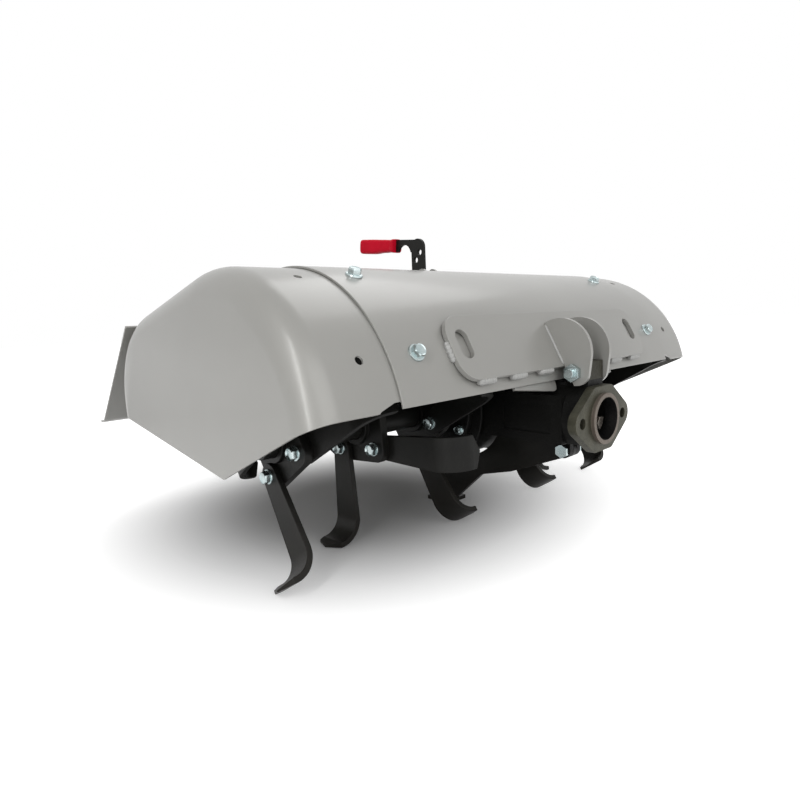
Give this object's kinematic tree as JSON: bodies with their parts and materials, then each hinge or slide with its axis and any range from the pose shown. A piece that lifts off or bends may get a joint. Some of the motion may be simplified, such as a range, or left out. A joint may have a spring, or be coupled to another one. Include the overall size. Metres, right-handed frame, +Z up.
{
  "type": "rotavator (tiller attachment for a two-wheel tractor)",
  "caption": "Rotary tiller attachment: tined rotor on a gear case under a widening sheet hood, with a rear flap, depth skid lever and a round drive coupling.",
  "frame": {"origin": "centre of the coupling flange's front face, on the drive axis", "axes": "+X along the rotor to its right end, +Y to the rear, away from the tractor, +Z up"},
  "size_m": [0.79, 0.6364, 0.4204],
  "materials": {
    "silver_paint": "satin",
    "black_casting": "satin",
    "black_steel": "satin",
    "bare_iron": "matte",
    "zinc": "satin",
    "red_grip": "satin"
  },
  "bodies": {
    "frame": {"hood_main": "silver_paint", "hood_end_left": "silver_paint", "hood_end_right": "silver_paint", "front_plate": "silver_paint", "clevis_ear_left": "silver_paint", "clevis_ear_right": "silver_paint", "hood_tabs": "silver_paint", "clevis_bolt": "zinc", "gear_case": "black_casting", "input_housing": "black_casting", "coupling_flange": "bare_iron", "side_cover_left": "black_casting", "side_cover_right": "black_casting", "hood_stay": "black_casting", "lever_guide": "silver_paint", "hood_hinge": "silver_paint", "skid_pivot": "zinc"},
    "rotor": {"rotor_shaft": "black_steel", "tine_flange_1": "black_steel", "tine_flange_2": "black_steel", "tine_flange_3": "black_steel", "tine_flange_4": "black_steel", "tine_flange_5": "black_steel", "tine_flange_6": "black_steel", "tines_1": "black_steel", "tines_2": "black_steel", "tines_3": "black_steel", "tines_4": "black_steel", "tines_5": "black_steel", "tines_6": "black_steel"},
    "flap": {"flap_sheet": "silver_paint", "flap_pin": "zinc"},
    "depth_skid": {"skid_plate": "black_steel", "lever_bar": "black_steel", "lever_grip": "red_grip"},
    "drive": {"pto_coupler": "black_steel"}
  },
  "joints": [
    {"name": "rotor_spin", "type": "hinge", "parent": "frame", "child": "rotor", "pos_m": [0, 0.225, 0], "axis": [1, 0, 0], "continuous": true},
    {"name": "flap_swing", "type": "hinge", "parent": "frame", "child": "flap", "pos_m": [0, 0.46521, 0.14511], "axis": [1, 0, 0], "range_deg": [0, 95]},
    {"name": "depth_swing", "type": "hinge", "parent": "frame", "child": "depth_skid", "pos_m": [0, 0.048, -0.045], "axis": [-1, 0, 0], "range_deg": [0, 6]},
    {"name": "drive_spin", "type": "hinge", "parent": "frame", "child": "drive", "pos_m": [0, 0, 0], "axis": [0, 1, 0], "continuous": true}
  ],
  "couplings": [
    {"joint": "drive_spin", "follows": "rotor_spin", "ratio": 3}
  ]
}
